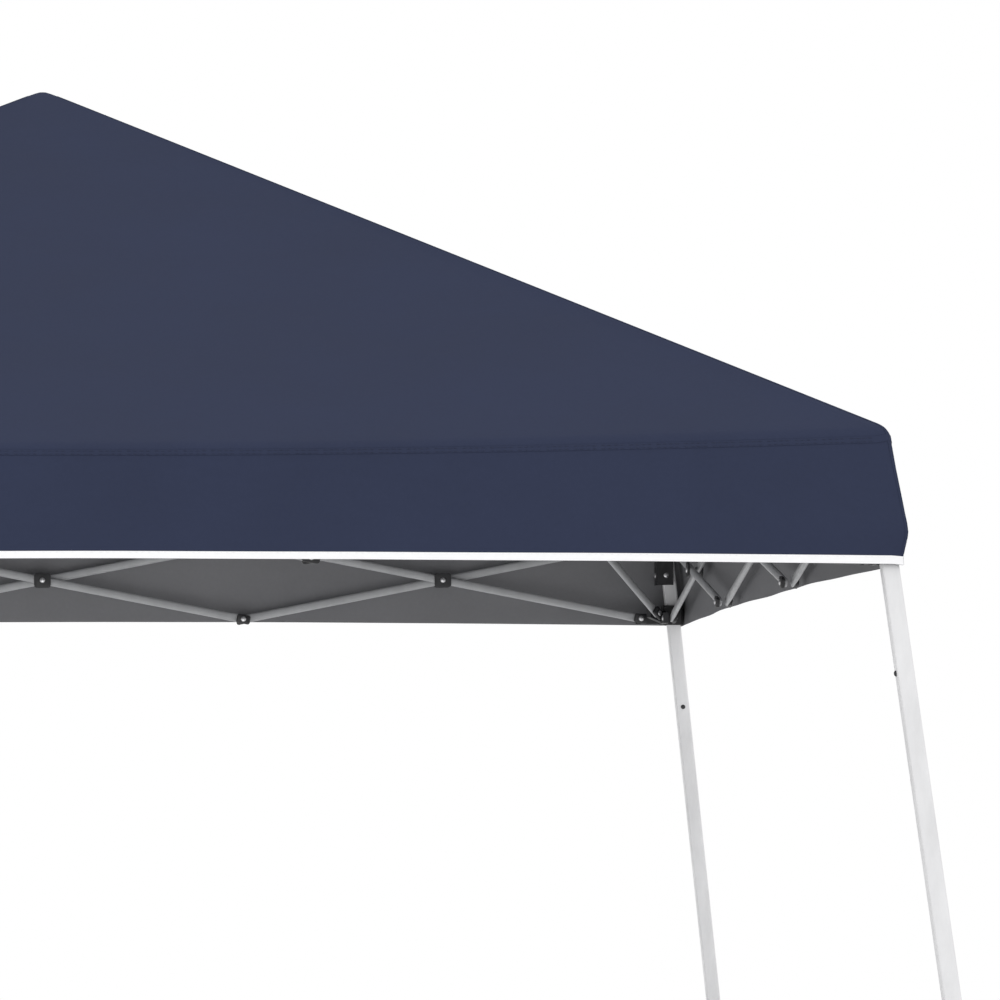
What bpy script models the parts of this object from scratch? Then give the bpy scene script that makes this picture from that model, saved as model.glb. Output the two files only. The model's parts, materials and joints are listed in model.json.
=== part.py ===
"""Slant-leg pop-up canopy: a folding steel frame under a four-sided fabric top.

Metres, +Z up. The origin is on the ground, under the peak. Corner 0 is front right, and the
corners and sides run counterclockwise from it, so everything is made once and turned by 90 degrees.
"""

import bpy
import bmesh
from math import cos, pi, radians, sin, sqrt
from mathutils import Matrix, Vector

# Driving dimensions
BAR_LENGTH = 0.788  # between the end pins of a scissor bar
OPEN_ANGLE = radians(11)  # slope of the scissor bars when open
HIP_ANGLE = radians(22)  # slope of the roof ribs when open
LEG_SLOPE = 0.115  # outward run of a leg per metre of drop, along each side
TOP_PIN_Z = 1.900
TOP_ARM = 0.049  # leg axis to the top pins, along each side
RIB_FOOT = 0.036  # leg axis to the rib's pin, along the diagonal
STRUT_FOOT = 0.044  # leg hinge to the slider's strut pin, along the diagonal
STRUT_FOOT_DROP = 0.1409  # and below it
STRUT_HANG = 0.0161  # strut's upper pin below the elbow pin, square to the rib
PEAK_Z = 2.600
EAVE_Z = 1.938
EAVE_HALF = 1.234
HEM_HALF = 1.253
HEM_Z = 1.740

# Bars and ribs
BAR_HEIGHT = 0.016
BAR_THICK = 0.010
PLANE_GAP = 0.002  # between a bar and the bar it is pinned to
RIVET_R = 0.0035
HOLE_R = 0.0039
ROUND_STEPS = 6

# Legs
TUBE = 0.0254
TUBE_WALL = 0.0012
INNER_TUBE = 0.0214
LEG_TOP = 0.020  # above the hinge
LEG_BOTTOM = 1.170  # below the hinge, along the leg
INNER_TOP = 0.940
FOOT_PLATE = (0.090, 0.090, 0.004)
FOOT_BLOCK = (0.036, 0.036, 0.034)
BUTTON_Z = 1.580
BUTTON_R = 0.0045
BUTTON_OUT = 0.003

# Brackets
SOCKET = 0.033
BRACKET = 0.038
BRACKET_LOW = 0.024
BRACKET_HIGH = 0.028
SOCKET_HIGH = 0.0235
HEEL_WRAP = 0.014  # how far the heel runs along the leg's two inner faces, past its axis
HEEL_LOW = 0.085  # bottom of the inner walls that the slanted leg rests against when it is pulled in
ARM_HALF = 0.010
ARM_END = 0.009  # beyond the pin
SLIDER_GAP = 0.0045
SLIDER_WALL = 0.0045
SLIDER_LOW = 0.012
SLIDER_HIGH = 0.026

# Fabric
CLOTH = 0.002
SEAM_GAP = 0.0006

# Worked out from the above
UNIT = BAR_LENGTH * cos(OPEN_ANGLE)
PIN_HALF = 1.5 * UNIT
TRUSS_DROP = BAR_LENGTH * sin(OPEN_ANGLE)
LEG_AT_TOP = PIN_HALF + TOP_ARM
LEG_SHIFT = LEG_SLOPE * TRUSS_DROP
LEG_TILT = pi / 2 - Vector((sqrt(2) * LEG_SLOPE, 1)).angle(Vector((1, 0)))
RING = sqrt(2) * 1.5 * BAR_LENGTH
RIB_SUM = RING * cos(OPEN_ANGLE) / cos(HIP_ANGLE)
RIB_DIFFERENCE = RING * sin(OPEN_ANGLE) / sin(HIP_ANGLE)
LOWER_RIB = (RIB_SUM - RIB_DIFFERENCE) / 2
UPPER_RIB = (RIB_SUM + RIB_DIFFERENCE) / 2
HUB_ARM = sqrt(2) * TOP_ARM - RIB_FOOT
HUB_Z = TOP_PIN_Z + RIB_SUM * sin(HIP_ANGLE)
LEG_LENGTH = TOP_PIN_Z / cos(LEG_TILT)

# Offsets across a truss or a rib: the middle layer, and the layers each side of it
HALF = BAR_THICK / 2
PITCH = BAR_THICK + PLANE_GAP
OUTER = (-PLANE_GAP / 2 - BAR_THICK, -PLANE_GAP / 2)
INNER = (PLANE_GAP / 2, PLANE_GAP / 2 + BAR_THICK)
MIDDLE = (-HALF, HALF)
LEFT = (-PITCH - HALF, -PITCH + HALF)
RIGHT = (PITCH - HALF, PITCH + HALF)
RIVET_REACH = BAR_THICK + PLANE_GAP - 0.0003  # just short of the far face of the bar it holds

CORNERS = ("front_right", "back_right", "back_left", "front_left")
SIDES = ("right", "back", "left", "front")


def clear_scene():
    for item in list(bpy.data.objects):
        bpy.data.objects.remove(item)


def material(name, colour, roughness, metallic=0.0):
    made = bpy.data.materials.new(name)
    made.use_nodes = True
    shader = made.node_tree.nodes["Principled BSDF"]
    shader.inputs["Base Color"].default_value = (*colour, 1)
    shader.inputs["Roughness"].default_value = roughness
    shader.inputs["Metallic"].default_value = metallic
    return made


def turn(axis, angle):
    return Matrix.Rotation(angle, 4, axis)


def shift(x, y, z):
    return Matrix.Translation((x, y, z))


# Frames. Each has +Z up and, for a truss or a rib, +X along it and +Y to its inner or right side.


def corner_frame(k):
    """At leg k's hinge: +X along side k, +Y towards the inside along the side before it."""
    return turn("Z", k * pi / 2) @ shift(LEG_AT_TOP, -LEG_AT_TOP, TOP_PIN_Z) @ turn("Z", pi / 2)


def side_frame(k):
    """At the first top pin of side k."""
    return corner_frame(k) @ shift(TOP_ARM, 0, 0)


def rib_frame(k):
    """At leg k's hinge, with +X along the diagonal to the centre."""
    return corner_frame(k) @ turn("Z", pi / 4)


def leg_frame(k):
    """At leg k's hinge, with +Z up the slanted leg and its faces along the sides."""
    return rib_frame(k) @ turn("Y", LEG_TILT) @ turn("Z", -pi / 4)


# Shapes


def arc(x, z, radius, start, stop, steps):
    angles = [start + (stop - start) * i / steps for i in range(steps + 1)]
    return [(x + radius * cos(angle), z + radius * sin(angle)) for angle in angles]


def ring(x, z, radius, steps=12):
    return arc(x, z, radius, 0, 2 * pi * (steps - 1) / steps, steps - 1)


def bar_outline(start, stop):
    half = BAR_HEIGHT / 2
    right = arc(stop, 0, half, -pi / 2, pi / 2, ROUND_STEPS)
    left = arc(start, 0, half, pi / 2, 3 * pi / 2, ROUND_STEPS)
    return right + left


def plate(outline, layer, holes=(), rivets=()):
    """A flat plate standing in XZ between two Y values, with round holes, and rivets (x, z, reach) on it."""
    near, far = layer
    shape = bmesh.new()
    seats = sorted({(x, z) for x, z, _ in rivets})
    loops = [outline] + [ring(x, z, HOLE_R) for x, z in holes]
    loops += [ring(x, z, RIVET_R) for x, z in seats]
    edges = []
    discs = []
    for number, loop in enumerate(loops):
        points = [shape.verts.new((x, near, z)) for x, z in loop]
        edges += [shape.edges.new((points[i - 1], points[i])) for i in range(len(points))]
        if number > len(holes):
            discs.append(points)
    bmesh.ops.triangle_fill(shape, use_beauty=True, edges=edges)
    for points in discs:
        shape.faces.new(points)
    made = bmesh.ops.extrude_face_region(shape, geom=shape.faces[:])["geom"]
    back = [item for item in made if isinstance(item, bmesh.types.BMVert)]
    bmesh.ops.translate(shape, verts=back, vec=(0, far - near, 0))
    for x, z, reach in rivets:
        level = far if reach > 0 else near
        centre = Vector((x, level, z))
        disc = min(
            (face for face in shape.faces if len(face.verts) == 12),
            key=lambda face: (face.calc_center_median() - centre).length,
        )
        top = bmesh.ops.extrude_face_region(shape, geom=[disc])["geom"]
        if disc.is_valid:
            shape.faces.remove(disc)
        raised = [item for item in top if isinstance(item, bmesh.types.BMVert)]
        bmesh.ops.translate(shape, verts=raised, vec=(0, reach, 0))
    bmesh.ops.recalc_face_normals(shape, faces=shape.faces[:])
    return shape


def block(low, high, chamfer=0.0, edges=()):
    """A box between two corners; edges lists the (x, y) signs of upright edges to chamfer."""
    shape = bmesh.new()
    bmesh.ops.create_cube(shape, size=1)
    size = Vector(high) - Vector(low)
    middle = (Vector(high) + Vector(low)) / 2
    bmesh.ops.scale(shape, vec=size, verts=shape.verts[:])
    if edges:
        wanted = [
            edge
            for edge in shape.edges
            if abs(edge.verts[0].co.z - edge.verts[1].co.z) > size.z / 2
            and (edge.verts[0].co.x > 0, edge.verts[0].co.y > 0) in edges
        ]
        bmesh.ops.bevel(shape, geom=wanted, offset=chamfer, segments=1, affect="EDGES")
    bmesh.ops.translate(shape, vec=middle, verts=shape.verts[:])
    return shape


def cylinder(radius, start, stop, steps=16):
    """A round bar from one point to another."""
    shape = bmesh.new()
    along = Vector(stop) - Vector(start)
    bmesh.ops.create_cone(
        shape, cap_ends=True, segments=steps, radius1=radius, radius2=radius, depth=along.length
    )
    middle = (Vector(start) + Vector(stop)) / 2
    to_along = along.to_track_quat("Z", "Y").to_matrix().to_4x4()
    bmesh.ops.transform(shape, matrix=Matrix.Translation(middle) @ to_along, verts=shape.verts[:])
    return shape


def moved(shape, matrix):
    bmesh.ops.transform(shape, matrix=matrix, verts=shape.verts[:])
    return shape


def to_mesh(shape, name):
    mesh = bpy.data.meshes.new(name)
    shape.to_mesh(mesh)
    shape.free()
    return mesh


def combined(name, solids, cuts=()):
    """The union of some solids with others cut away, as one mesh."""
    body = bpy.data.objects.new(name, to_mesh(solids[0], name))
    bpy.context.collection.objects.link(body)
    helpers = []
    jobs = [("UNION", shape) for shape in solids[1:]] + [("DIFFERENCE", shape) for shape in cuts]
    for number, (operation, shape) in enumerate(jobs):
        tool = bpy.data.objects.new(f"{name}_tool_{number}", to_mesh(shape, f"{name}_tool_{number}"))
        bpy.context.collection.objects.link(tool)
        tool.hide_render = True
        tool.display_type = "WIRE"
        step = body.modifiers.new(operation, "BOOLEAN")
        step.operation = operation
        step.object = tool
        helpers.append(tool)
    bpy.context.view_layer.update()
    result = bpy.data.meshes.new_from_object(body.evaluated_get(bpy.context.evaluated_depsgraph_get()))
    for item in [body] + helpers:
        bpy.data.objects.remove(item)
    result.name = name
    return result


def place(name, mesh, matrix, finish, pivot=(0, 0, 0)):
    """Puts a copy of the mesh at the matrix, with the object's origin on its pivot."""
    own = mesh.copy()
    own.name = name
    own.transform(Matrix.Translation(-Vector(pivot)))
    own.materials.clear()
    own.materials.append(finish)
    thing = bpy.data.objects.new(name, own)
    bpy.context.collection.objects.link(thing)
    thing.matrix_world = matrix @ Matrix.Translation(pivot)
    own.shade_smooth()
    own.set_sharp_from_angle(angle=radians(40))
    return thing


# Sub-parts


def scissor_bars(finish):
    """Three crossed pairs a side. An outer bar carries the rivets, an inner bar the holes."""
    pins = (0, BAR_LENGTH / 2, BAR_LENGTH)
    outline = bar_outline(0, BAR_LENGTH)
    rivets = [(x, 0, RIVET_REACH) for x in pins]
    outer = to_mesh(plate(outline, OUTER, rivets=rivets), "outer_bar")
    inner = to_mesh(plate(outline, INNER, holes=[(x, 0) for x in pins]), "inner_bar")
    middle = (BAR_LENGTH / 2, 0, 0)
    start = (0, 0, 0)
    outer_pivots = (start, middle, start)
    inner_pivots = (middle, start, middle)
    for k, side in enumerate(SIDES):
        for unit in range(3):
            falling = side_frame(k) @ shift(unit * UNIT, 0, 0) @ turn("Y", OPEN_ANGLE)
            rising = side_frame(k) @ shift(unit * UNIT, 0, -TRUSS_DROP) @ turn("Y", -OPEN_ANGLE)
            place(f"{side}_bar_{unit + 1}_outer", outer, falling, finish, outer_pivots[unit])
            place(f"{side}_bar_{unit + 1}_inner", inner, rising, finish, inner_pivots[unit])


def lower_rib_outline():
    """A bar with a lug under its upper end, for the strut's pin."""
    half = BAR_HEIGHT / 2
    lug = arc(LOWER_RIB, -STRUT_HANG, half, pi, 2 * pi, ROUND_STEPS)
    top = arc(LOWER_RIB, 0, half, 0, pi / 2, ROUND_STEPS)
    left = arc(0, 0, half, pi / 2, 3 * pi / 2, ROUND_STEPS)
    return lug + top + left + [(LOWER_RIB - half, -half)]


def roof_ribs(finish):
    """Each hip has a lower rib, pinned to the corner bracket, and an upper rib, pinned to the hub."""
    pins = [(0, 0, -RIVET_REACH), (LOWER_RIB, 0, -RIVET_REACH), (LOWER_RIB, -STRUT_HANG, RIVET_REACH)]
    lower = to_mesh(plate(lower_rib_outline(), MIDDLE, rivets=pins), "lower_rib")
    upper = to_mesh(
        plate(bar_outline(0, UPPER_RIB), LEFT, holes=[(0, 0)], rivets=[(UPPER_RIB, 0, RIVET_REACH)]),
        "upper_rib",
    )
    for k, corner in enumerate(CORNERS):
        slope = rib_frame(k) @ shift(RIB_FOOT, 0, 0) @ turn("Y", -HIP_ANGLE)
        place(f"lower_rib_{corner}", lower, slope, finish, (LOWER_RIB, 0, 0))
        place(f"upper_rib_{corner}", upper, slope @ shift(LOWER_RIB, 0, 0), finish, (UPPER_RIB, 0, 0))


def strut_ends():
    """The lug's pin under the elbow and the slider's strut pin, in a rib frame."""
    x = LOWER_RIB * cos(HIP_ANGLE) + STRUT_HANG * sin(HIP_ANGLE)
    z = LOWER_RIB * sin(HIP_ANGLE) - STRUT_HANG * cos(HIP_ANGLE)
    return Vector((RIB_FOOT + x, 0, z)), Vector((STRUT_FOOT, 0, -STRUT_FOOT_DROP))


def struts(finish):
    """A strut runs from the lug down to the slider. Its mesh starts at the lug."""
    lug, foot = strut_ends()
    run = lug - foot
    slope = Vector((run.x, run.z)).angle_signed(Vector((1, 0)))
    outline = bar_outline(-run.length, 0)
    mesh = to_mesh(plate(outline, RIGHT, holes=[(0, 0)], rivets=[(-run.length, 0, -RIVET_REACH)]), "strut")
    for k, corner in enumerate(CORNERS):
        place(f"strut_{corner}", mesh, rib_frame(k) @ shift(*lug) @ turn("Y", -abs(slope)), finish)


def top_brackets(finish):
    """A socket with a long heel for the leg's top, an arm for each truss and an ear for the rib."""
    half = BRACKET / 2
    bore = SOCKET / 2
    reach = TOP_ARM + ARM_END
    upright = ((True, True), (False, False))
    core = block((-half, -half, -BRACKET_LOW), (half, half, BRACKET_HIGH), 0.004, upright)
    heel_x = block((bore, -HEEL_WRAP, -HEEL_LOW), (half, half, -BRACKET_LOW + 0.006))
    heel_y = block((-HEEL_WRAP, bore, -HEEL_LOW), (half, half, -BRACKET_LOW + 0.006))
    first_arm = block((half - 0.003, INNER[0], -ARM_HALF), (reach, INNER[1], ARM_HALF))
    last_arm = block((OUTER[0], half - 0.003, -ARM_HALF), (OUTER[1], reach, ARM_HALF))
    ear = moved(
        block((0.020, LEFT[0], -0.009), (RIB_FOOT + 0.008, LEFT[1], 0.009)),
        turn("Z", pi / 4),
    )
    rivet = cylinder(
        RIVET_R, (-PLANE_GAP / 2 - HALF, TOP_ARM, 0), (OUTER[1] + RIVET_REACH, TOP_ARM, 0), 12
    )
    socket = block((-bore, -bore, -HEEL_LOW - 0.01), (bore, bore, SOCKET_HIGH))
    first_hole = cylinder(HOLE_R, (TOP_ARM, -0.005, 0), (TOP_ARM, 0.014, 0), 12)
    rib_hole = moved(
        cylinder(HOLE_R, (RIB_FOOT, LEFT[0] - 0.0005, 0), (RIB_FOOT, 0, 0), 12), turn("Z", pi / 4)
    )
    solids = [core, heel_x, heel_y, first_arm, last_arm, ear, rivet]
    mesh = combined("top_bracket", solids, [socket, first_hole, rib_hole])
    pivot = turn("Z", pi / 4) @ Vector((RIB_FOOT, 0, 0))
    for k, corner in enumerate(CORNERS):
        place(f"top_bracket_{corner}", mesh, corner_frame(k), finish, pivot)


def sliders(finish):
    """Bears on the leg's two inner faces, with an arm for each truss and an ear for the strut."""
    face = TUBE / 2 + SLIDER_GAP
    back = face + SLIDER_WALL
    wrap = -0.014
    arm = TOP_ARM + LEG_SHIFT
    reach = arm + ARM_END
    low, high = -SLIDER_LOW, SLIDER_HIGH
    wall_x = block((face, wrap, low), (back, back, high))
    wall_y = block((wrap, face, low), (back, back, high))
    outer = (LEG_SHIFT + OUTER[0], LEG_SHIFT + OUTER[1])
    inner = (LEG_SHIFT + INNER[0], LEG_SHIFT + INNER[1])
    first_arm = block((back - 0.003, outer[0], -ARM_HALF), (reach, outer[1], ARM_HALF))
    last_arm = block((inner[0], back - 0.003, -ARM_HALF), (inner[1], reach, ARM_HALF))
    rivet = cylinder(RIVET_R, (arm, outer[1] - HALF, 0), (arm, outer[1] + RIVET_REACH, 0), 12)
    last_hole = cylinder(HOLE_R, (inner[0] - 0.01, arm, 0), (inner[1] + 0.01, arm, 0), 12)
    diagonal = sqrt(2) * LEG_SHIFT + STRUT_FOOT
    lift = TRUSS_DROP - STRUT_FOOT_DROP
    root = sqrt(2) * (back - 0.003)
    tip = diagonal + ARM_END
    outline = [(root, -0.011), (tip, lift - 0.008), (tip, lift + 0.008), (root, 0.014)]
    ear = moved(plate(outline, MIDDLE, holes=[(diagonal, lift)]), turn("Z", pi / 4))
    mesh = combined("slider", [wall_x, wall_y, first_arm, last_arm, ear, rivet], [last_hole])
    for k, corner in enumerate(CORNERS):
        seat = corner_frame(k) @ shift(-LEG_SHIFT, -LEG_SHIFT, -TRUSS_DROP)
        place(f"slider_{corner}", mesh, seat, finish, (arm, 0, 0))


def upper_legs(finish):
    """A square tube, open at both ends, with a snap button on its inner face."""
    half = TUBE / 2
    bore = half - TUBE_WALL
    tube = block((-half, -half, -LEG_BOTTOM), (half, half, LEG_TOP))
    drop = (BUTTON_Z - TOP_PIN_Z) / cos(LEG_TILT)
    button = cylinder(BUTTON_R, (0, bore + 0.0004, drop), (0, half + BUTTON_OUT, drop), 12)
    hollow = block((-bore, -bore, -LEG_BOTTOM - 0.01), (bore, bore, LEG_TOP + 0.01))
    mesh = combined("upper_leg", [tube, button], [hollow])
    for k, corner in enumerate(CORNERS):
        place(f"upper_leg_{corner}", mesh, leg_frame(k), finish)


def lower_legs(finish):
    """The inner tube that telescopes in the upper leg, with its foot flat on the ground."""
    half = INNER_TUBE / 2
    bore = half - TUBE_WALL
    foot = Vector((-sqrt(2) * LEG_SLOPE * TOP_PIN_Z, 0, -TOP_PIN_Z))
    on_ground = Matrix.Translation(foot) @ turn("Z", -pi / 4)
    to_leg = leg_frame(0).inverted() @ rib_frame(0) @ on_ground
    x, y, z = (length / 2 for length in FOOT_PLATE)
    all_four = ((True, True), (True, False), (False, True), (False, False))
    pad = moved(block((-x, -y, 0), (x, y, 2 * z), 0.015, all_four), to_leg)
    a, b, height = FOOT_BLOCK[0] / 2, FOOT_BLOCK[1] / 2, FOOT_BLOCK[2]
    root = Matrix.Translation((0, 0, -LEG_LENGTH))
    hilt = moved(block((-a, -b, 0.006), (a, b, height)), root)
    tube = block((-half, -half, -LEG_LENGTH + 0.008), (half, half, -INNER_TOP))
    hollow = block((-bore, -bore, -LEG_LENGTH + 0.040), (bore, bore, -INNER_TOP + 0.01))
    plug = moved(block((-a, -b, 0.001), (a, b, 0.016)), to_leg)
    mesh = combined("lower_leg", [tube, hilt, plug, pad], [hollow])
    for k, corner in enumerate(CORNERS):
        place(f"lower_leg_{corner}", mesh, leg_frame(k), finish)


def peak_hub(finish):
    """The block under the peak that the four upper ribs are pinned to."""
    core = cylinder(0.013, (0, 0, -0.022), (0, 0, 0.012), 16)
    dome = cylinder(0.008, (0, 0, 0.010), (0, 0, PEAK_Z - HUB_Z - 0.012), 16)
    arms = []
    holes = []
    for k in range(4):
        across = turn("Z", -pi / 4 + k * pi / 2)
        arms.append(moved(block((0.008, -HALF, -0.010), (HUB_ARM + 0.009, HALF, 0.010)), across))
        holes.append(moved(cylinder(HOLE_R, (HUB_ARM, -0.02, 0), (HUB_ARM, 0.02, 0), 12), across))
    mesh = combined("hub", [core, dome] + arms, holes)
    place("hub", mesh, shift(0, 0, HUB_Z), finish)


def canopy_sides(finish):
    """One roof triangle with its valance a side, each a thin closed shell, clear of the next at the hips."""
    drop = CLOTH * sqrt(1 + ((PEAK_Z - EAVE_Z) / EAVE_HALF) ** 2)
    tip = 0.002
    outer = [
        (tip, 0.0, 0.0),
        (EAVE_HALF, EAVE_HALF - SEAM_GAP, EAVE_Z - PEAK_Z),
        (HEM_HALF, HEM_HALF - SEAM_GAP, HEM_Z - PEAK_Z),
    ]
    inner = [
        (tip, 0.0, -drop),
        (EAVE_HALF - CLOTH, EAVE_HALF - CLOTH - SEAM_GAP, EAVE_Z - PEAK_Z - drop),
        (HEM_HALF - CLOTH, HEM_HALF - CLOTH - SEAM_GAP, HEM_Z - PEAK_Z),
    ]
    shape = bmesh.new()
    rows = []
    for skin in (outer, inner):
        apex = shape.verts.new(skin[0])
        pairs = [[shape.verts.new((x, sign * y, z)) for sign in (-1, 1)] for x, y, z in skin[1:]]
        rows.append((apex, *pairs))
    (apex_o, eave_o, hem_o), (apex_i, eave_i, hem_i) = rows
    faces = [
        (apex_o, eave_o[0], eave_o[1]),
        (eave_o[0], hem_o[0], hem_o[1], eave_o[1]),
        (apex_i, eave_i[1], eave_i[0]),
        (eave_i[1], hem_i[1], hem_i[0], eave_i[0]),
        (hem_o[0], hem_i[0], hem_i[1], hem_o[1]),
    ]
    for a, b in ((0, 0), (1, 1)):
        faces.append((apex_o, apex_i, eave_i[a], eave_o[a]))
        faces.append((eave_o[b], eave_i[b], hem_i[b], hem_o[b]))
    for face in faces:
        shape.faces.new(face)
    bmesh.ops.recalc_face_normals(shape, faces=shape.faces[:])
    bmesh.ops.triangulate(shape, faces=shape.faces[:])
    mesh = to_mesh(shape, "canopy_side")
    for k, side in enumerate(SIDES):
        place(f"canopy_{side}", mesh, turn("Z", k * pi / 2) @ shift(0, 0, PEAK_Z), finish)


def main():
    clear_scene()
    steel_white = material("white_steel", (0.80, 0.80, 0.81), 0.35, 0.2)
    steel_grey = material("grey_steel", (0.34, 0.35, 0.36), 0.4, 0.3)
    plastic = material("black_plastic", (0.02, 0.02, 0.022), 0.5)
    fabric = material("navy_fabric", (0.040, 0.050, 0.090), 0.85)
    scissor_bars(steel_grey)
    roof_ribs(steel_grey)
    struts(steel_grey)
    top_brackets(plastic)
    sliders(plastic)
    upper_legs(steel_white)
    lower_legs(steel_white)
    peak_hub(plastic)
    canopy_sides(fabric)


main()
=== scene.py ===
"""Looks of a slant-leg pop-up canopy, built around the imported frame. Metres, +Z up."""

import json
from math import atan2, cos, hypot, pi, radians, sin, sqrt

import bmesh
import bpy
from mathutils import Matrix, Vector, noise


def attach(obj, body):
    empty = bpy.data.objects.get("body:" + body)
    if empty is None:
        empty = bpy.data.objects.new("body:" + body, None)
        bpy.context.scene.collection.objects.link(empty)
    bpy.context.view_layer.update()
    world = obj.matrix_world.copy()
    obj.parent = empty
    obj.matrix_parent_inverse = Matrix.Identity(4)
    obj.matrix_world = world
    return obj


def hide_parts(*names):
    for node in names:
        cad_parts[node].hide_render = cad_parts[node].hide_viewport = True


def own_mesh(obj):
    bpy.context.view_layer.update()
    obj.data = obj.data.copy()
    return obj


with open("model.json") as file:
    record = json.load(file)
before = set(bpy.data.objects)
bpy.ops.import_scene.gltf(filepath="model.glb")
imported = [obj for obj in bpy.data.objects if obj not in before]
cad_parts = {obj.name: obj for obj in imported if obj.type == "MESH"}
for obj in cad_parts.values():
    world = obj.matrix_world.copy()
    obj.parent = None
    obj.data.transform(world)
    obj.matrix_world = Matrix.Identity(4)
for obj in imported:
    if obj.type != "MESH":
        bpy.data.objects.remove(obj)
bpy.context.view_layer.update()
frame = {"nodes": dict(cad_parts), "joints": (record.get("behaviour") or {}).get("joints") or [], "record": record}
joints = {joint["name"]: joint for joint in frame["joints"]}

CORNERS = ("front_right", "back_right", "back_left", "front_left")
SIDES = ("right", "back", "left", "front")

# Cloth
CLOTH = 0.0012
EAVE_SAG = 0.028  # of the eave seam, halfway between two corners
BELLY = 0.010  # of a roof panel, between its hips
HEM_LIFT = 0.010  # of the hem, halfway between two corners
CORNER_FLARE = 0.0335  # outward run of the valance at a corner
CORNER_TUCK = 0.0155  # how far its hem turns in again
MIDDLE_FLARE = 0.008
TAPE = 0.0125  # width of the white binding
SEAM = 0.009
STITCH_PITCH = 0.009
STITCH_LENGTH = 0.0062
STITCH_WIDTH = 0.0007
THREAD_RISE = 0.0004
SEAM_FOOT = 0.0001  # how far the binding and the hip seams start above the cloth
STITCH_INSET = 0.0018
PEAK_ROUND = 0.005
EAVE_ROUND = 0.011
CORNER_ROUND = 0.024
STRAIGHT_SHARE = 0.92  # of a side's columns, the rest going round its two corners

# Frame
BAR_THICK = 0.010
BAR_END = 0.008  # from the end pin to the bar's tip
FLAT_THICK = 0.0052  # where a bar's end is pressed flat
RIVET_HEAD = 0.0052
SPACER = (0.0265, 0.0175)  # width and height of the black spacer at a pin
CROSS_BLOCK = (0.032, 0.027, 0.004)
ARM_FACE = 0.0109  # from an arm's pin centre to the rivet head's foot
HEEL_DROP = 0.066  # heel rivets below the leg's hinge
HEEL_FACE = 0.0189
HUB_FACE = 0.0049
HUB_RIVET = 0.0046
SLIDER_BELOW, SLIDER_ABOVE = 0.012, 0.026  # the collar's ends from the slider's pin
COLLAR_GAP = 0.0020
COLLAR_WALL = 0.0030
COLLAR_END = 0.0135  # where the collar's outline stops, short of the moulded half
LEG_HALF = 0.0127
BUTTON_RADIUS = 0.0044
TUBE_ROUND = 0.0032
TUBE_WALL = 0.0012
EDGE = 0.0007

# View
FOCAL = 4.8977  # focal length over frame width
CAMERA = (0.0036, -8.2651, 1.397)
YAW, PITCH, ROLL = 0.09294, 0.06135, -0.00458
SENSOR = 36.0
FLOOR_RADIUS = 14.0
BOUNCE_SPREAD = radians(115)


# Materials


class Nodes:
    """Short calls for building a material's nodes."""

    def __init__(self, name, **values):
        self.made = bpy.data.materials.new(name)
        self.made.use_nodes = True
        self.tree = self.made.node_tree
        self.shader = self.tree.nodes["Principled BSDF"]
        for socket, value in values.items():
            self.shader.inputs[socket.replace("_", " ").title()].default_value = value
        self.place = self.add("ShaderNodeTexCoord").outputs["Object"]

    def add(self, kind, **values):
        node = self.tree.nodes.new(kind)
        for key, value in values.items():
            setattr(node, key, value)
        return node

    def link(self, source, target):
        self.tree.links.new(source, target)

    def stretched(self, scale):
        node = self.add("ShaderNodeMapping")
        node.inputs["Scale"].default_value = scale
        self.link(self.place, node.inputs["Vector"])
        return node.outputs["Vector"]

    def noise(self, scale, detail=4.0, roughness=0.55, stretch=None):
        node = self.add("ShaderNodeTexNoise")
        node.inputs["Scale"].default_value = scale
        node.inputs["Detail"].default_value = detail
        node.inputs["Roughness"].default_value = roughness
        self.link(self.stretched(stretch) if stretch else self.place, node.inputs["Vector"])
        return node.outputs["Fac"]

    def wave(self, scale, direction):
        node = self.add("ShaderNodeTexWave", wave_type="BANDS", bands_direction=direction)
        node.inputs["Scale"].default_value = scale
        node.inputs["Distortion"].default_value = 0.4
        node.inputs["Detail"].default_value = 1.0
        self.link(self.place, node.inputs["Vector"])
        return node.outputs["Fac"]

    def math(self, operation, first, second):
        node = self.add("ShaderNodeMath", operation=operation)
        for socket, value in zip(node.inputs, (first, second)):
            if hasattr(value, "is_output"):
                self.link(value, socket)
            else:
                socket.default_value = value
        return node.outputs[0]

    def ramp(self, source, low, high, start=0.35, stop=0.65):
        """A value or colour that goes from low to high as the source does from start to stop."""
        node = self.add("ShaderNodeValToRGB")
        node.color_ramp.elements[0].position = start
        node.color_ramp.elements[1].position = stop
        node.color_ramp.elements[0].color = (*low, 1)
        node.color_ramp.elements[1].color = (*high, 1)
        self.link(source, node.inputs["Fac"])
        return node.outputs["Color"]

    def colour(self, source):
        self.link(source, self.shader.inputs["Base Color"])

    def roughness(self, source, low, high):
        self.link(self.ramp(source, (low,) * 3, (high,) * 3), self.shader.inputs["Roughness"])

    def bump(self, *layers):
        """Each layer is a height source, its depth in metres and its strength."""
        normal = None
        for height, distance, strength in layers:
            node = self.add("ShaderNodeBump")
            node.inputs["Distance"].default_value = distance
            node.inputs["Strength"].default_value = strength
            self.link(height, node.inputs["Height"])
            if normal:
                self.link(normal, node.inputs["Normal"])
            normal = node.outputs["Normal"]
        self.link(normal, self.shader.inputs["Normal"])


def shades(colour, spread):
    return [tuple(channel * (1 + sign * spread) for channel in colour) for sign in (-1, 1)]


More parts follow.
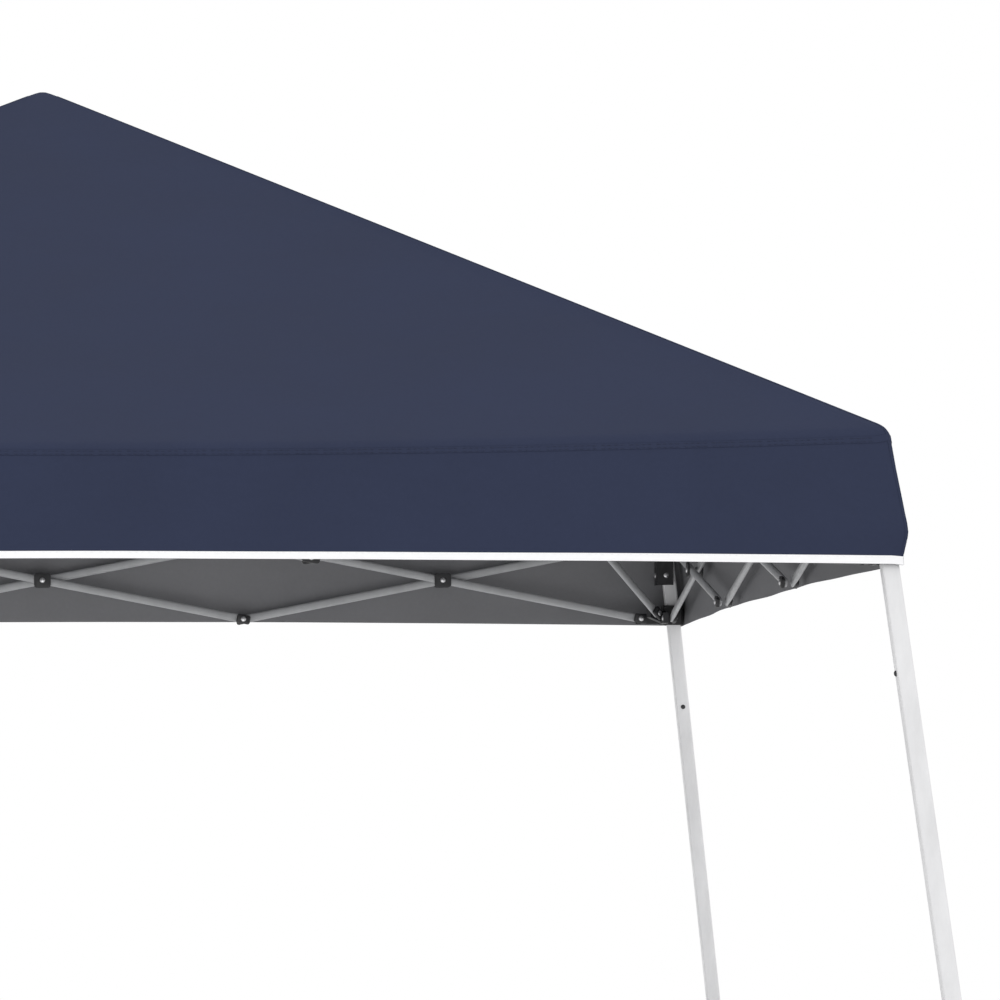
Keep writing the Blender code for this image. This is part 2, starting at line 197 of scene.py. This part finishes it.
def woven(name, colour, spread, roughness, sheen=0.0, pitch=0.0009):
    """Plain-weave polyester: warp and weft bands, faint mottling and soft creases."""
    m = Nodes(name, roughness=roughness, sheen_weight=sheen, sheen_roughness=0.45)
    m.shader.inputs["Specular IOR Level"].default_value = 0.06
    mottle = m.noise(5.0, 6.0, 0.6)
    fine = m.noise(160.0, 3.0)
    blend = m.math("ADD", m.math("MULTIPLY", mottle, 0.75), m.math("MULTIPLY", fine, 0.25))
    m.colour(m.ramp(blend, *shades(colour, spread)))
    bands = pi / (10 * pitch)
    weave = m.math("MAXIMUM", m.wave(bands, "X"), m.math("MAXIMUM", m.wave(bands, "Y"), m.wave(bands, "Z")))
    creases = m.noise(9.0, 3.0, 0.5, (1, 1, 2.2))
    m.bump((creases, 0.004, 0.25), (weave, 0.0002, 0.35))
    m.roughness(mottle, roughness - 0.06, roughness + 0.05)
    return m.made


def coated(name, colour, spread, roughness, speckle=0.25, metallic=0.0):
    """Powder-coated steel: orange peel, slight mottling and rubbed dull patches."""
    m = Nodes(name, metallic=metallic)
    m.shader.inputs["Specular IOR Level"].default_value = 0.45
    streaks = m.noise(24.0, 6.0, 0.62, (1, 1, 0.25))
    m.colour(m.ramp(streaks, *shades(colour, spread)))
    m.roughness(m.noise(60.0, 5.0), roughness - 0.07, roughness + 0.1)
    m.bump((m.noise(700.0, 2.0), 0.0003, speckle), (m.noise(90.0, 3.0), 0.0004, 0.12))
    return m.made


def moulded(name, colour, roughness):
    """Moulded nylon: fine spark texture, duller where it has been handled."""
    m = Nodes(name)
    patches = m.noise(38.0, 5.0)
    m.colour(m.ramp(patches, *shades(colour, 0.25)))
    m.roughness(patches, roughness - 0.08, roughness + 0.08)
    m.bump((m.noise(1500.0, 2.0), 0.0002, 0.3))
    return m.made


def plated(name, colour, roughness):
    """Zinc-plated rivets and pins."""
    m = Nodes(name, metallic=0.9)
    patches = m.noise(300.0, 4.0)
    m.colour(m.ramp(patches, *shades(colour, 0.12)))
    m.roughness(patches, roughness - 0.08, roughness + 0.12)
    m.bump((m.noise(900.0, 2.0), 0.0002, 0.2))
    return m.made


navy = woven("navy polyester", (0.0325, 0.0402, 0.0750), 0.05, 0.88, 0.008)
lining = woven("grey coated lining", (0.190, 0.191, 0.200), 0.05, 0.7)
binding = woven("white binding", (0.93, 0.93, 0.94), 0.02, 0.8, 0.1, 0.0006)
thread = woven("navy thread", (0.030, 0.036, 0.066), 0.06, 0.7, 0.1, 0.0004)
white_thread = woven("white thread", (0.80, 0.80, 0.81), 0.04, 0.7, 0.1, 0.0004)
white_steel = coated("white powder coat", (0.74, 0.74, 0.75), 0.06, 0.4)
grey_steel = coated("grey powder coat", (0.36, 0.365, 0.375), 0.07, 0.42)
black_nylon = moulded("black nylon", (0.018, 0.018, 0.020), 0.5)
zinc = plated("zinc plate", (0.62, 0.62, 0.63), 0.34)


# Helpers


def turned(k):
    return Matrix.Rotation(k * pi / 2, 4, "Z")


def thing(name, vertices, faces, materials, picks=None, matrix=None, smooth=40):
    """A mesh object; picks gives each face's material."""
    mesh = bpy.data.meshes.new(name)
    mesh.from_pydata([tuple(v) for v in vertices], [], faces)
    for item in materials:
        mesh.materials.append(item)
    if picks:
        mesh.polygons.foreach_set("material_index", picks)
    if matrix:
        mesh.transform(matrix)
    mesh.validate()
    mesh.shade_smooth()
    mesh.set_sharp_from_angle(angle=radians(smooth))
    made = bpy.data.objects.new(name, mesh)
    bpy.context.collection.objects.link(made)
    return made


class Pile:
    """Collects shapes into one mesh."""

    def __init__(self):
        self.vertices, self.faces, self.picks = [], [], []

    def add(self, vertices, faces, pick=0, matrix=None):
        start = len(self.vertices)
        self.vertices += [matrix @ Vector(v) for v in vertices] if matrix else [Vector(v) for v in vertices]
        self.faces += [tuple(start + i for i in face) for face in faces]
        self.picks += [pick] * len(faces)

    def loft(self, rings, pick=0, matrix=None, capped=True):
        """Skins closed rings of equal length, in order, and caps the two ends."""
        size = len(rings[0])
        vertices = [point for each in rings for point in each]
        faces = []
        for row in range(len(rings) - 1):
            for i in range(size):
                j = (i + 1) % size
                faces.append((row * size + i, row * size + j, (row + 1) * size + j, (row + 1) * size + i))
        if capped:
            faces.append(tuple(range(size))[::-1])
            faces.append(tuple(range((len(rings) - 1) * size, len(rings) * size)))
        self.add(vertices, faces, pick, matrix)

    def dome(self, centre, axis, radius, height, pick=0, sides=16):
        """A rivet's head: a low dome standing on a face, with a small foot under it."""
        to_axis = Vector(axis).to_track_quat("Z", "Y").to_matrix().to_4x4()
        place = Matrix.Translation(centre) @ to_axis
        profile = [(1.0, -0.4), (1.0, 0.15), (0.93, 0.45), (0.72, 0.78), (0.42, 0.95), (0.14, 1.0)]
        angles = [2 * pi * i / sides for i in range(sides)]
        rings = [
            [(r * radius * cos(angle), r * radius * sin(angle), z * height) for angle in angles]
            for r, z in profile
        ]
        self.loft(rings, pick, place)

    def rounded_box(self, centre, axes, size, radius, pick=0):
        """A box with rounded upright edges and chamfered ends.

        The three axes are its along, across and out directions.
        """
        along, across, out = (Vector(axis) for axis in axes)
        levels = [(-0.5, 0.82), (-0.36, 1.0), (0.36, 1.0), (0.5, 0.82)]
        rings = []
        for level, share in levels:
            outline = rounded_rectangle(size[0] * share, size[1] * share, radius * share, 3)
            lift = out * (level * size[2])
            rings.append([Vector(centre) + along * x + across * y + lift for x, y in outline])
        self.loft(rings, pick)

    def finish(self, name, materials, smooth=40):
        made = thing(name, self.vertices, self.faces, materials, self.picks, smooth=smooth)
        shape = bmesh.new()
        shape.from_mesh(made.data)
        bmesh.ops.recalc_face_normals(shape, faces=shape.faces[:])
        shape.to_mesh(made.data)
        shape.free()
        return made


def rounded_rectangle(width, height, radius, steps):
    points = []
    for number, (sx, sy) in enumerate(((1, 1), (-1, 1), (-1, -1), (1, -1))):
        for i in range(steps + 1):
            angle = number * pi / 2 + i * pi / 2 / steps
            points.append(
                (
                    sx * (width / 2 - radius) + radius * cos(angle),
                    sy * (height / 2 - radius) + radius * sin(angle),
                )
            )
    return points


def smoothstep(value):
    value = min(1.0, max(0.0, value))
    return value * value * (3 - 2 * value)


def node_points(name):
    return [vertex.co.copy() for vertex in frame["nodes"][name].data.vertices]


def body_of_node(name):
    return next(body for body, nodes in frame["record"]["behaviour"]["bodies"].items() if name in nodes)


def settle(piece, body, slot_name, *nodes):
    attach(piece, body)
    if nodes:
        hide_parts(*nodes)
    return piece


# The fabric top. Each side is one sheet, from the peak over the eave to the hem, in a local
# frame with +X outward and +Y along the side. Its shape is a function of two shares:
# u goes 0 to 1 down the roof and 1 to 2 down the valance, and s goes -1 to 1 along the side.

top_points = node_points("canopy_right")
PEAK_Z = max(point.z for point in top_points)
HEM_Z = min(point.z for point in top_points)
eave_points = [point for point in top_points if HEM_Z + 0.05 < point.z < PEAK_Z - 0.05]
EAVE_Z = max(point.z for point in eave_points)
EAVE_HALF = max(point.x for point in eave_points) - 0.0015
ROOF_RISE = PEAK_Z - EAVE_Z


def across(s, half, corner):
    """Plan of one side at a half width: straight, then round to 45 degrees at each corner."""
    share = abs(s)
    if share <= STRAIGHT_SHARE:
        return half, s / STRAIGHT_SHARE * (half - corner)
    angle = (share - STRAIGHT_SHARE) / (1 - STRAIGHT_SHARE) * pi / 4
    reach = half - corner + corner * sin(angle)
    return half - corner + corner * cos(angle), reach if s > 0 else -reach


def roof_point(r, s):
    x, y = across(s, EAVE_HALF * r, CORNER_ROUND * r)
    middle = 1 - s * s
    fall = hypot(r, PEAK_ROUND)
    belly = BELLY * middle * sin(pi * r)
    soft = 0.0022 * middle * r * noise.noise(Vector((x * 2.6, y * 2.1, 3.7)))
    return Vector((x, y, PEAK_Z - ROOF_RISE * fall - EAVE_SAG * middle * r - belly + soft))


def valance_point(v, s):
    middle = 1 - s * s
    corner = abs(s) ** 5
    flare = CORNER_FLARE * v - CORNER_TUCK * smoothstep((v - 0.72) / 0.28)
    hang = MIDDLE_FLARE * v + 0.0035 * v * sin(9.0 * s + 1.3) + 0.002 * v * sin(23.0 * s)
    half = EAVE_HALF + corner * flare + (1 - corner) * hang
    x, y = across(s, half, CORNER_ROUND * (1 - 0.25 * v))
    top = EAVE_Z - EAVE_SAG * middle
    hem = HEM_Z - 0.004 + HEM_LIFT * middle
    return Vector((x, y, top + (hem - top) * v))


def sheet_point(u, s):
    """The sheet's middle surface, with the eave rounded by a quadratic curve."""
    roof_reach = EAVE_ROUND / EAVE_HALF
    drop_reach = EAVE_ROUND / (EAVE_Z - HEM_Z)
    if u < 1 - roof_reach:
        return roof_point(u, s)
    if u > 1 + drop_reach:
        return valance_point(u - 1, s)
    t = (u - 1 + roof_reach) / (roof_reach + drop_reach)
    start, stop = roof_point(1 - roof_reach, s), valance_point(drop_reach, s)
    return (1 - t) ** 2 * start + 2 * t * (1 - t) * roof_point(1, s) + t * t * stop


def sheet_normal(u, s):
    step = 0.002
    down = sheet_point(min(2.0, u + step), s) - sheet_point(max(0.0, u - step), s)
    along = sheet_point(u, min(1.0, s + step)) - sheet_point(u, max(-1.0, s - step))
    normal = down.cross(along)
    if normal.length < 1e-9:
        return Vector((0.45, 0, 0.9)).normalized()
    return normal.normalized()


def spread(start, stop, count):
    return [start + (stop - start) * i / count for i in range(count + 1)]


def slab(name, k, us, ss, low, high, materials, pick_inner=0):
    """A closed patch of side k's sheet between two offsets from its middle surface."""
    rows, columns = len(us), len(ss)
    points = [[(sheet_point(u, s), sheet_normal(u, s)) for s in ss] for u in us]
    vertices = [p + n * high for row in points for p, n in row]
    vertices += [p + n * low for row in points for p, n in row]
    size = rows * columns
    faces, picks = [], []
    for i in range(rows - 1):
        for j in range(columns - 1):
            a, b = i * columns + j, i * columns + j + 1
            c, d = a + columns, b + columns
            faces += [(a, c, d, b), (size + a, size + b, size + d, size + c)]
            picks += [0, pick_inner]
    border = list(range(columns))
    border += [i * columns + columns - 1 for i in range(1, rows)]
    border += [(rows - 1) * columns + j for j in range(columns - 2, -1, -1)]
    border += [i * columns for i in range(rows - 2, 0, -1)]
    for a, b in zip(border, border[1:] + border[:1]):
        faces.append((a, b, size + b, size + a))
        picks.append(0)
    return thing(name, vertices, faces, materials, picks, turned(k), 55)


def stitches(pile, k, line, pick=0):
    """Short raised threads along a run of (u, s) shares."""
    points = [(sheet_point(u, s), sheet_normal(u, s)) for u, s in line]
    spare = 0.0
    for (p, n), (q, _) in zip(points, points[1:]):
        run = q - p
        length = run.length
        if length < 1e-9:
            continue
        ahead = run / length
        side = ahead.cross(n).normalized() * STITCH_WIDTH / 2
        at = spare
        while at + STITCH_LENGTH <= length:
            foot = p + ahead * at + n * (CLOTH / 2 + 0.0006)
            middle = foot + ahead * STITCH_LENGTH * 0.5 + n * THREAD_RISE
            ends = [foot, middle, foot + ahead * STITCH_LENGTH]
            rings = [[e - side, e + n * THREAD_RISE, e + side, e - n * 0.0006] for e in ends]
            pile.loft(rings, pick, turned(k))
            at += STITCH_PITCH
        spare = max(0.0, at - length)


def follow_fold(piece, k):
    """Side k's fabric swings down with its panel."""
    side = SIDES[k]
    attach(piece, f"canopy_{side}")
    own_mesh(piece)


def canopy_top(k):
    side = SIDES[k]
    roof_rows = [0.0, 0.004, 0.01, 0.02, 0.035] + spread(0.06, 0.98, 22)
    eave_rows = spread(1 - EAVE_ROUND / EAVE_HALF, 1 + EAVE_ROUND / (EAVE_Z - HEM_Z), 6)
    hem_rows = spread(1.12, 1.70, 6) + spread(1.76, 2.0, 6)
    round_end = spread(STRAIGHT_SHARE, 1.0, 5)[1:]
    straight = spread(-STRAIGHT_SHARE, STRAIGHT_SHARE, 44)
    columns = [-s for s in reversed(round_end)] + straight + round_end
    all_rows = roof_rows + eave_rows + hem_rows
    top = CLOTH / 2
    sheet = slab(f"canopy_sheet_{side}", k, all_rows, columns, -top, top, [navy, lining], 1)
    drop = EAVE_Z - HEM_Z
    tape = TAPE / drop
    tape_rows = spread(2.0 - tape, 2.0, 2)
    hem = slab(f"hem_binding_{side}", k, tape_rows, columns, top + SEAM_FOOT, top + 0.0011, [binding])
    seam_top = 1 + 0.010 / drop
    seam_rows = spread(seam_top, seam_top + SEAM / drop, 4)
    seam = slab(f"eave_seam_{side}", k, seam_rows, columns, top + 0.0002, top + 0.0007, [navy])
    hips = []
    rows = [r for r in all_rows if 0.02 <= r <= 2.0 - tape]
    inner_edge = STRAIGHT_SHARE + 0.82 * (1 - STRAIGHT_SHARE)
    for sign in (-1, 1):
        ends = sorted(sign * s for s in (inner_edge, 1.0))
        name = f"hip_seam_{side}_{sign}"
        hips.append(slab(name, k, rows, ends, top + SEAM_FOOT, top + 0.0005, [navy]))
    bpy.context.view_layer.update()
    pile = Pile()
    for each in hips:
        data = each.data
        pile.add([v.co for v in data.vertices], [tuple(p.vertices) for p in data.polygons])
        bpy.data.objects.remove(each)
    hip = pile.finish(f"hip_seams_{side}", [navy], 55)
    rows = Pile()
    fine = spread(-STRAIGHT_SHARE, STRAIGHT_SHARE, 60)
    for u in (seam_top + STITCH_INSET / drop, seam_top + (SEAM - STITCH_INSET) / drop):
        stitches(rows, k, [(u, s) for s in fine])
    hem_line = 2.0 - tape + 0.002 / drop
    stitches(rows, k, [(hem_line, s) for s in fine], 1)
    thread_piece = rows.finish(f"seam_stitching_{side}", [thread, white_thread])
    for piece in (sheet, hem, seam, hip, thread_piece):
        follow_fold(piece, k)
    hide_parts(f"canopy_{side}")


# Bars, ribs and struts: oval tube, pressed flat and rounded at both ends


def oval(centre, up, out, height, thickness, power):
    points = []
    for i in range(20):
        angle = 2 * pi * i / 20
        c, s = cos(angle), sin(angle)
        points.append(
            centre
            + up * (height / 2 * abs(s) ** power * (1 if s >= 0 else -1))
            + out * (thickness / 2 * abs(c) ** power * (1 if c >= 0 else -1))
        )
    return points


def bar_axes(name, out):
    """A CAD bar's direction, upward direction, reach, thickness and middle height.

    out is the bar's thin direction.
    """
    points = node_points(name)
    middle = sum(points, Vector()) / len(points)
    flat = [(p - middle) - out * (p - middle).dot(out) for p in points]
    far = max(flat, key=lambda p: p.length)
    along = far.normalized()
    for _ in range(12):
        total = Vector()
        for p in flat:
            total += p * p.dot(along)
        along = total.normalized()
    if along.dot(Vector((0, 0, 1))) < 0:
        along = -along
    reach = [p.dot(along) for p in points]
    level = [p.dot(out) for p in points]
    up = out.cross(along).normalized()
    height = [p.dot(up) for p in points]
    return along, up, (min(reach), max(reach)), (min(level), max(level)), (min(height) + max(height)) / 2


def bar_pins(name, out, layer_side):
    """A bar's two pins. layer_side picks which end of its CAD thickness is the bar and not a rivet."""
    along, up, reach, level, height = bar_axes(name, out)
    if layer_side > 0:
        centre_level = level[1] - BAR_THICK / 2
    elif layer_side < 0:
        centre_level = level[0] + BAR_THICK / 2
    else:
        centre_level = (level[0] + level[1]) / 2
    base = up * height + out * centre_level
    return base + along * (reach[0] + BAR_END), base + along * (reach[1] - BAR_END)


def oval_bar(name, out, pins):
    """Replaces a CAD bar with an oval tube between two pins, its ends pressed flat."""
    along = (pins[1] - pins[0]).normalized()
    up = out.cross(along).normalized()
    length = (pins[1] - pins[0]).length + 2 * BAR_END
    tip = pins[0] - along * BAR_END
    full = 2 * BAR_END
    stations = []
    for depth, share in ((0.0004, 0.30), (0.0014, 0.56), (0.0034, 0.82), (0.0056, 0.95), (BAR_END, 1.0)):
        stations.append((depth, full * share, FLAT_THICK, 0.55))
    stations.append((0.022, full, FLAT_THICK, 0.55))
    stations.append((0.028, full * 0.985, 0.0066, 0.65))
    stations.append((0.034, full * 0.97, 0.0086, 0.8))
    stations.append((0.042, full * 0.96, BAR_THICK, 0.88))
    ends = [(depth, *rest) for depth, *rest in stations]
    ends += [(length - depth, *rest) for depth, *rest in reversed(stations)]
    rings = [oval(tip + along * at, up, out, tall, thick, power) for at, tall, thick, power in ends]
    pile = Pile()
    pile.loft(rings)
    bar = pile.finish(f"tube_{name}", [grey_steel])
    settle(bar, body_of_node(name), "grey_steel", name)
    return along, up


def pivot_hardware(name, pins, out, along, up, face):
    """Black spacers with a zinc rivet head, on a bar's free face at its two pins."""
    pile = Pile()
    foot = FLAT_THICK / 2
    thick = BAR_THICK / 2 - foot + 0.0045
    for pin in pins:
        middle = pin + out * face * (foot + thick / 2 - 0.0004)
        pile.rounded_box(middle, (along, up, out), (*SPACER, thick), 0.004, 0)
        pile.dome(middle + out * face * (thick / 2 - 0.0002), out * face, RIVET_HEAD, 0.0022, 1)
    piece = pile.finish(f"pivots_{name}", [black_nylon, zinc])
    settle(piece, body_of_node(name), "black_plastic")


def scissors(k):
    side = SIDES[k]
    out = (turned(k) @ Vector((1, 0, 0))).normalized()
    level = turned(k) @ Vector((0, 1, 0))
    for unit in (1, 2, 3):
        for layer, face in (("outer", 1), ("inner", -1)):
            name = f"{side}_bar_{unit}_{layer}"
            pins = bar_pins(name, out, face)
            along, up = oval_bar(name, out, pins)
            middle = (pins[0] + pins[1]) / 2
            pivot_hardware(name, pins, out, along, up, face)
            cross = Pile()
            centre = middle + out * face * (BAR_THICK / 2 + 0.0016)
            cross.rounded_box(centre, (level, Vector((0, 0, 1)), out), CROSS_BLOCK, 0.005, 0)
            cross.dome(centre + out * face * 0.0019, out * face, RIVET_HEAD, 0.0024, 1)
            piece = cross.finish(f"cross_block_{name}", [black_nylon, zinc])
            settle(piece, body_of_node(name), "black_plastic")


def ribs(k):
    corner = CORNERS[k]
    inward = turned(k) @ Vector((-1, 1, 0)).normalized()
    right = Vector((0, 0, 1)).cross(inward).normalized()
    elbow = hinge_point(f"elbow_{corner}")
    lower = f"lower_rib_{corner}"
    oval_bar(lower, right, (hinge_point(f"rib_foot_{corner}"), elbow))
    hang = hinge_point(f"strut_hinge_{corner}") - elbow
    pile = Pile()
    pile.rounded_box(
        elbow + hang / 2,
        (hang.cross(right).normalized(), hang.normalized(), right),
        (2 * BAR_END, hang.length + 2 * BAR_END, FLAT_THICK - 0.0002),
        BAR_END * 0.9,
    )
    settle(pile.finish(f"lug_{lower}", [grey_steel]), lower, "grey_steel")
    for name, side in ((f"upper_rib_{corner}", -1), (f"strut_{corner}", 1)):
        pins = bar_pins(name, right, side)
        along, up = oval_bar(name, right, pins)
        pivot_hardware(name, pins, right, along, up, side)


# Brackets and hub: the CAD shape with softened edges


def softened(name, new_name, finish, width=EDGE):
    """A copy of a CAD solid with its flat faces whole again and its edges rounded."""
    source = frame["nodes"][name]
    made = bpy.data.objects.new(new_name, source.data.copy())
    bpy.context.collection.objects.link(made)
    shape = bmesh.new()
    shape.from_mesh(made.data)
    bmesh.ops.remove_doubles(shape, verts=shape.verts[:], dist=1e-6)
    bmesh.ops.dissolve_limit(
        shape, angle_limit=radians(1.0), verts=shape.verts[:], edges=shape.edges[:], delimit={"NORMAL"}
    )
    shape.to_mesh(made.data)
    shape.free()
    made.data.materials.clear()
    made.data.materials.append(finish)
    bevel = made.modifiers.new("Bevel", "BEVEL")
    bevel.width = width
    bevel.segments = 2
    bevel.limit_method = "ANGLE"
    bevel.angle_limit = radians(35)
    made.data.shade_smooth()
    made.data.set_sharp_from_angle(angle=radians(40))
    return made


def hinge_point(name):
    return Vector(joints[name]["pos_m"])


def rivets_on(name, body, spots, radius=RIVET_HEAD, height=0.0022):
    pile = Pile()
    for centre, axis in spots:
        pile.dome(centre, axis, radius, height)
    settle(pile.finish(name, [zinc], 30), body, "white_steel")


def brackets(k):
    corner = CORNERS[k]
    side = SIDES[k]
    for kind in ("top_bracket", "slider"):
        name = f"{kind}_{corner}"
        settle(softened(name, f"moulded_{name}", black_nylon), name, "black_plastic", name)
    # rivet heads on the free faces of the arms
    inward_a = turned(k) @ Vector((-1, 0, 0))
    along_a = turned(k) @ Vector((0, 1, 0))
    inward_b = turned(k - 1) @ Vector((-1, 0, 0))
    top_pin = hinge_point(f"{side}_top_pin")
    low_pin = hinge_point(f"slider_pin_{corner}")
    top_a = top_pin + inward_a * ARM_FACE
    low_a = low_pin - inward_a * ARM_FACE
    leg = hinge_point(f"leg_tilt_{corner}")
    arm = (top_pin - leg).length
    top_b = leg + inward_a * arm - inward_b * ARM_FACE
    low_b = leg + inward_a * arm - (top_pin - low_pin) + inward_b * ARM_FACE
    heel = leg - Vector((0, 0, HEEL_DROP))
    heel_rivets = [(heel + way * HEEL_FACE, way) for way in (along_a, inward_a)]
    top_rivets = [(top_a, inward_a), (top_b, -inward_b)] + heel_rivets
    rivets_on(f"bracket_rivets_{corner}", f"top_bracket_{corner}", top_rivets)
    rivets_on(f"slider_rivets_{corner}", f"slider_{corner}", [(low_a, -inward_a), (low_b, inward_b)])
    slider_collar(k, leg, along_a, inward_a)


def slider_collar(k, leg, along, inward):
    """The outer half of the slider's collar, with grip ribs, round the leg's two outer faces."""
    corner = CORNERS[k]
    up = Vector(joints[f"leg_length_{corner}"]["axis"])
    pin = hinge_point(f"slider_pin_{corner}")
    bottom, top = pin.z - SLIDER_BELOW, pin.z + SLIDER_ABOVE
    middle = (bottom + top) / 2
    axis_point = leg - up * ((leg.z - middle) / up.z)
    inner = LEG_HALF + COLLAR_GAP
    outer = inner + COLLAR_WALL
    pile = Pile()
    # an L-shaped outline round the two outer faces, in inward (a) and along (b) coordinates
    outline = [
        (-COLLAR_END, outer), (-outer + 0.004, outer), (-outer, outer - 0.004), (-outer, -outer + 0.004),
        (-outer + 0.004, -outer), (outer - 0.004, -outer), (outer, -outer + 0.004), (outer, -COLLAR_END),
        (inner, -COLLAR_END), (inner, -inner + 0.002), (inner - 0.002, -inner), (-inner + 0.002, -inner),
        (-inner, -inner + 0.002), (-inner, inner - 0.002), (-inner + 0.002, inner), (-COLLAR_END, inner),
    ]
    levels = [(bottom, 0.97), (bottom + 0.0015, 1.0), (top - 0.0015, 1.0), (top, 0.97)]
    rings = [
        [Vector((axis_point.x, axis_point.y, z)) + (inward * a + along * b) * share for a, b in outline]
        for z, share in levels
    ]
    pile.loft(rings)
    for face, run in ((inward, along), (along, inward)):
        for step in range(-2, 3):
            centre = Vector((axis_point.x, axis_point.y, middle))
            spot = centre - face * (outer + 0.0006) + run * (step * 0.0065)
            pile.rounded_box(spot, (run, Vector((0, 0, 1)), face), (0.0026, 0.026, 0.0026), 0.001)
    collar = pile.finish(f"slider_collar_{corner}", [black_nylon])
    settle(collar, f"slider_{corner}", "black_plastic")


def hub():
    settle(softened("hub", "moulded_hub", black_nylon), "hub", "black_plastic", "hub")
    spots = []
    for k, corner in enumerate(CORNERS):
        pin = hinge_point(f"hub_{corner}" if k else "fold")
        inward = turned(k) @ Vector((-1, 1, 0)).normalized()
        right = Vector((0, 0, 1)).cross(inward)
        spots.append((pin + right * HUB_FACE, right))
    rivets_on("hub_rivets", "hub", spots, HUB_RIVET)


# Legs


def square_tube(pile, matrix, low, high, half, wall, pick=0):
    """A square tube with rounded corners, open at both ends, standing along local Z."""
    def outline(reach, radius):
        return rounded_rectangle(2 * reach, 2 * reach, radius, 4)

    inner = half - wall
    edge = 0.0004
    profile = [
        (half - edge, low, TUBE_ROUND), (half, low + edge, TUBE_ROUND),
        (half, high - edge, TUBE_ROUND), (half - edge, high, TUBE_ROUND),
        (inner, high, TUBE_ROUND - wall), (inner, low, TUBE_ROUND - wall),
    ]
    rings = [[(x, y, z) for x, y in outline(reach, radius)] for reach, z, radius in profile]
    pile.loft(rings + rings[:1], pick, matrix, capped=False)


def leg_matrix(corner, k):
    """At the leg's hinge, with local Z up the leg and its faces along the sides."""
    up = Vector(joints[f"leg_length_{corner}"]["axis"])
    side = turned(k) @ Vector((0, 1, 0))
    inward = turned(k) @ Vector((-1, 1, 0)).normalized()
    tilt = atan2(hypot(up.x, up.y), up.z)
    right = Vector((0, 0, 1)).cross(inward).normalized()
    flat = Matrix.Rotation(tilt, 4, right)
    x = flat @ side
    y = up.cross(x).normalized()
    base = Matrix((x, y, up)).transposed().to_4x4()
    return Matrix.Translation(hinge_point(f"leg_tilt_{corner}")) @ base


def legs(k):
    corner = CORNERS[k]
    matrix = leg_matrix(corner, k)
    local = matrix.inverted()
    name = f"upper_leg_{corner}"
    reach = [(local @ point) for point in node_points(name)]
    low, high = min(p.z for p in reach), max(p.z for p in reach)
    half = max(abs(p.x) for p in reach)
    pile = Pile()
    square_tube(pile, matrix, low, high, half, TUBE_WALL)
    settle(pile.finish(f"leg_tube_{corner}", [white_steel]), name, "white_steel", name)
    button_level = [p.z for p in reach if p.y > half + 0.001]
    button_z = (min(button_level) + max(button_level)) / 2
    buttons = Pile()
    face = matrix.to_3x3() @ Vector((0, 1, 0))
    buttons.dome(matrix @ Vector((0, half, button_z)), face, BUTTON_RADIUS, 0.0032, 0, 20)
    settle(buttons.finish(f"snap_button_{corner}", [black_nylon]), name, "black_plastic")
    lock = Pile()
    lock.dome(matrix @ Vector((0, half, low + 0.045)), face, BUTTON_RADIUS, 0.0034, 0, 20)
    lower = f"lower_leg_{corner}"
    settle(lock.finish(f"height_button_{corner}", [zinc]), name, "white_steel")
    settle(softened(lower, f"foot_and_tube_{corner}", white_steel, 0.0006), lower, "white_steel", lower)


# Stage


def studio():
    bpy.context.scene.view_settings.view_transform = "Standard"
    world = bpy.data.worlds.new("studio")
    bpy.context.scene.world = world
    world.use_nodes = True
    world.node_tree.nodes["Background"].inputs["Color"].default_value = (1, 1, 1, 1)
    world.node_tree.nodes["Background"].inputs["Strength"].default_value = 1.0
    shape = bmesh.new()
    bmesh.ops.create_circle(shape, cap_ends=True, segments=96, radius=FLOOR_RADIUS)
    mesh = bpy.data.meshes.new("floor")
    shape.to_mesh(mesh)
    shape.free()
    floor = bpy.data.objects.new("floor", mesh)
    bpy.context.collection.objects.link(floor)
    pale = Nodes("pale floor", roughness=0.9)
    pale.colour(pale.ramp(pale.noise(0.6, 3.0), (0.80, 0.80, 0.80), (0.83, 0.83, 0.83)))
    mesh.materials.append(pale.made)
    for name, place, size, power in (
        ("key", (-5.0, -7.0, 6.5), 4.0, 110.0),
        ("fill", (6.0, -5.0, 4.0), 4.0, 30.0),
        ("bounce", (0.0, -1.0, 0.75), 1.8, 4.5),
    ):
        light = bpy.data.lights.new(name, "AREA")
        light.shape = "DISK"
        light.size = size
        light.energy = power
        if name == "bounce":
            light.spread = BOUNCE_SPREAD
        lamp = bpy.data.objects.new(name, light)
        bpy.context.collection.objects.link(lamp)
        lamp.visible_camera = False
        lamp.location = place
        target = Vector((0.0, EAVE_HALF, HEM_Z)) if name == "bounce" else Vector((0, 0, 1.6))
        lamp.rotation_euler = (target - Vector(place)).to_track_quat("-Z", "Y").to_euler()


def camera():
    data = bpy.data.cameras.new("camera")
    data.sensor_width = SENSOR
    data.lens = FOCAL * SENSOR
    data.clip_end = 100
    eye = bpy.data.objects.new("camera", data)
    bpy.context.collection.objects.link(eye)
    ahead = Vector((sin(YAW) * cos(PITCH), cos(YAW) * cos(PITCH), sin(PITCH)))
    level = Vector((cos(YAW), -sin(YAW), 0))
    lift = level.cross(ahead)
    right = level * cos(ROLL) + lift * sin(ROLL)
    up = lift * cos(ROLL) - level * sin(ROLL)
    eye.matrix_world = Matrix.Translation(CAMERA) @ Matrix((right, up, -ahead)).transposed().to_4x4()
    bpy.context.scene.camera = eye


camera()
studio()
for number in range(4):
    canopy_top(number)
    scissors(number)
    ribs(number)
    brackets(number)
    legs(number)
hub()
